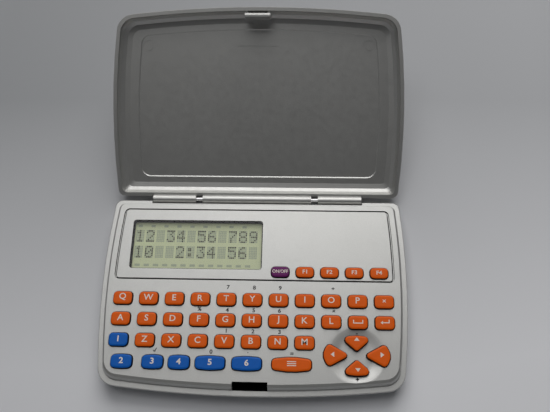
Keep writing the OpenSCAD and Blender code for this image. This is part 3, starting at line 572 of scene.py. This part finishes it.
def panel_outline(grow):
    """The panel's outline in the closed lid: arcs for sides and front, and a straight rear."""
    side_r = ((BODY_D / 2) ** 2 + SIDE_BOW ** 2) / (2 * SIDE_BOW)
    front_r = ((BODY_W / 2) ** 2 + FRONT_BOW ** 2) / (2 * FRONT_BOW)
    side_c = (BODY_W / 2 - side_r, WIDE_Y)
    front_c = (0.0, front_r - BODY_D / 2)
    r = PANEL_R - grow
    a = side_r - PANEL_SIDE - grow - r
    b = front_r - PANEL_END - grow - r
    gap = math.dist(side_c, front_c)
    direction = ((front_c[0] - side_c[0]) / gap, (front_c[1] - side_c[1]) / gap)
    along = (a * a - b * b + gap * gap) / (2 * gap)
    across = math.sqrt(a * a - along * along)
    front_corner = (
        side_c[0] + along * direction[0] + across * direction[1],
        side_c[1] + along * direction[1] - across * direction[0],
    )
    rear_y = BODY_D / 2 - PANEL_END - grow - r
    rear_corner = (side_c[0] + math.sqrt(a * a - (rear_y - WIDE_Y) ** 2), rear_y)
    front_end = math.atan2(front_corner[1] - front_c[1], front_corner[0] - front_c[0])
    side_start = math.atan2(front_corner[1] - side_c[1], front_corner[0] - side_c[0])
    side_end = math.atan2(rear_corner[1] - side_c[1], rear_corner[0] - side_c[0])
    half = arc_points(front_c, b + r, -math.pi / 2, front_end, 8)[1:-1]
    half += arc_points(front_corner, r, front_end, side_start, 7)
    half += arc_points(side_c, a + r, side_start, side_end, 6)[1:-1]
    half += arc_points(rear_corner, r, side_end, math.pi / 2, 7)
    return half + [(-x, y) for x, y in reversed(half)]


def lid_place(x, y, z):
    """A place in the closed lid, turned with it to the open pose."""
    turn = math.radians(-LID_OPEN)
    dy, dz = y - HINGE_Y, z - HINGE_Z
    cos, sin = math.cos(turn), math.sin(turn)
    return (x, HINGE_Y + dy * cos - dz * sin, HINGE_Z + dy * sin + dz * cos)


STEP_PROUD, STEP_OUT, STEP_IN = 0.005, -0.06, 0.42
outer = [lid_place(x, y, TRAY_Z - STEP_PROUD) for x, y in panel_outline(STEP_OUT)]
inner = [lid_place(x, y, PANEL_Z - STEP_PROUD) for x, y in panel_outline(STEP_IN)]
count = len(outer)
step_faces = [(i, (i + 1) % count, count + (i + 1) % count, count + i) for i in range(count)]
mesh_piece("lid_panel_step", outer + inner, step_faces, silver, "lid")

# ---------- The display's dots ----------

# Each sign's seven rows of five dots, as numbers whose bits are the dots
DOTS = {
    "0": (14, 17, 19, 21, 25, 17, 14), "1": (4, 12, 4, 4, 4, 4, 14), "2": (14, 17, 1, 2, 4, 8, 31),
    "3": (31, 2, 4, 2, 1, 17, 14), "4": (2, 6, 10, 18, 31, 2, 2), "5": (31, 16, 30, 1, 1, 17, 14),
    "6": (6, 8, 16, 30, 17, 17, 14), "7": (31, 1, 2, 4, 8, 8, 8), "8": (14, 17, 17, 14, 17, 17, 14),
    "9": (14, 17, 17, 15, 1, 2, 12), ":": (0, 12, 12, 0, 12, 12, 0), " ": (0,) * 7,
}
DISPLAY_ROWS = (("12 34 56 789", 25.42), ("10  2:34 56 ", 18.8))
DOT_X, DOT_Y = 0.66, 0.715
DOT_W, DOT_H = 0.55, 0.55 * 1.08
CELL = 4.16
CELL_X = -48.1
GHOST_Z = GLASS_TOP_Z + 0.01
LIT_Z = GLASS_TOP_Z + 0.02


def dot_quads(wanted):
    """The rectangles of the dots that are lit, or of those that aren't."""
    vertices, faces = [], []
    for text, top in DISPLAY_ROWS:
        for column, sign in enumerate(text):
            for r in range(7):
                for c in range(5):
                    lit = bool(DOTS[sign][r] & (16 >> c))
                    if lit != wanted:
                        continue
                    x = CELL_X + column * CELL + c * DOT_X
                    y = top - r * DOT_Y
                    corners = (x, y - DOT_H, x + DOT_W, y)
                    add_rectangle(vertices, faces, corners, LIT_Z if wanted else GHOST_Z)
    return vertices, faces


mesh_piece("display_dots", *dot_quads(True), segment_ink, "case")
mesh_piece("display_ghosts", *dot_quads(False), ghost_ink, "case")

MARKS_SPAN = 47.6


def small_marks():
    """Faint marks along the top and bottom of the display."""
    vertices, faces = [], []
    for y, amount, width, height in ((27.6, 9, 1.7, 0.9), (11.4, 13, 2.1, 0.95)):
        for i in range(amount):
            x = -MARKS_SPAN + i * (MARKS_SPAN / amount)
            add_rectangle(vertices, faces, (x, y - height, x + width, y), GHOST_Z)
    return vertices, faces


mesh_piece("display_marks", *small_marks(), ghost_ink, "case")

# ---------- Floor, light and camera ----------

BACKDROP = (0.82, 0.83, 0.85)
BACKDROP_LEVEL = 0.36
# Floor tones for painted light and shade: the far tone darker, the near tone paler
FLOOR_FAR = linear(166, 168, 171)
FLOOR_NEAR = linear(244, 245, 249)


def pale_floor():
    """Plain paper with painted light and shade: paler towards the front and the right, darker
    towards the back and the left, and like the backdrop far away.
    """
    n = Nodes("floor")
    x, y, z = n.split()
    # Painted light and shade: the paper gets paler towards the front and the right
    near = n.math("MULTIPLY", n.ramp(y, 0.09, -0.03), 0.76)
    right = n.math("MULTIPLY", n.ramp(x, -0.12, 0.12), 0.32)
    tone = n.mix(n.math("ADD", near, right), FLOOR_FAR, FLOOR_NEAR)
    paper = n.surface(Base_Color=tone, Roughness=0.75, Specular_IOR_Level=0.2)
    seen = n.add("ShaderNodeLightPath").outputs["Is Camera Ray"]
    haze = n.add("ShaderNodeEmission")
    n.put(haze.inputs["Color"], BACKDROP)
    n.put(haze.inputs["Strength"], BACKDROP_LEVEL)
    fade = n.add("ShaderNodeMixShader")
    n.link(n.both(seen, n.ramp(n.reach(x, y), 0.28, 0.9)), fade.inputs[0])
    n.link(paper.outputs["BSDF"], fade.inputs[1])
    n.link(haze.outputs[0], fade.inputs[2])
    n.link(fade.outputs[0], n.out.inputs["Surface"])
    return n.material


bpy.ops.mesh.primitive_plane_add(size=6, location=(0, 0, 0))
floor = bpy.context.object
floor.name = "floor"
floor.data.materials.append(pale_floor())

LAMP_TARGET = (0, 0.03, 0)


def area_light(name, location, size, power, colour):
    """A soft lamp that faces the object. Sizes are in metres and power in watts."""
    data = bpy.data.lights.new(name, "AREA")
    data.shape = "RECTANGLE"
    data.size, data.size_y = size
    data.energy = power
    data.color = colour
    light = bpy.data.objects.new(name, data)
    bpy.context.scene.collection.objects.link(light)
    light.location = location
    towards = Vector(LAMP_TARGET) - Vector(location)
    light.rotation_euler = towards.to_track_quat("-Z", "Y").to_euler()


area_light("window_light", (0.05, 0.95, 0.78), (1.2, 0.8), 8.1, (1.0, 0.99, 0.975))
area_light("ceiling_light", (-0.10, 0.38, 1.14), (1.1, 0.52), 2.75, (1.0, 1.0, 1.0))


def surroundings():
    """A dim room, brighter near the horizon and below the floor, and plain grey to the camera."""
    world = bpy.data.worlds.new("world")
    bpy.context.scene.world = world
    world.use_nodes = True
    tree = world.node_tree
    background = tree.nodes["Background"]
    coords = tree.nodes.new("ShaderNodeTexCoord")
    split = tree.nodes.new("ShaderNodeSeparateXYZ")
    tree.links.new(coords.outputs["Generated"], split.inputs[0])
    levels = []
    ends = ("From Min", "From Max", "To Min", "To Max")
    for values in ((0.12, 0.5, 0.34, 0.045), (-0.06, 0.0, 0.5, 0.0)):
        ramp = tree.nodes.new("ShaderNodeMapRange")
        ramp.interpolation_type = "SMOOTHSTEP"
        for socket, value in zip(ends, values):
            ramp.inputs[socket].default_value = value
        tree.links.new(split.outputs["Z"], ramp.inputs["Value"])
        levels.append(ramp.outputs[0])
    total = tree.nodes.new("ShaderNodeMath")
    total.operation = "ADD"
    tree.links.new(levels[0], total.inputs[0])
    tree.links.new(levels[1], total.inputs[1])
    path = tree.nodes.new("ShaderNodeLightPath")
    pick = tree.nodes.new("ShaderNodeMix")
    tree.links.new(path.outputs["Is Camera Ray"], pick.inputs["Factor"])
    tree.links.new(total.outputs[0], pick.inputs["A"])
    pick.inputs["B"].default_value = BACKDROP_LEVEL
    background.inputs["Color"].default_value = (*BACKDROP, 1)
    tree.links.new(pick.outputs["Result"], background.inputs["Strength"])


surroundings()

# The camera fitted to the photograph
camera_data = bpy.data.cameras.new("camera")
camera_data.lens = 41.404
camera_data.sensor_width = 36
camera_data.clip_start = 0.01
camera_data.clip_end = 20
camera = bpy.data.objects.new("camera", camera_data)
bpy.context.scene.collection.objects.link(camera)
camera.location = (0.017916, -0.05463, 0.24779)
camera.rotation_euler = [math.radians(a) for a in (20.755, 1.928, 1.401)]
bpy.context.scene.camera = camera

bpy.context.scene.view_settings.view_transform = "Standard"
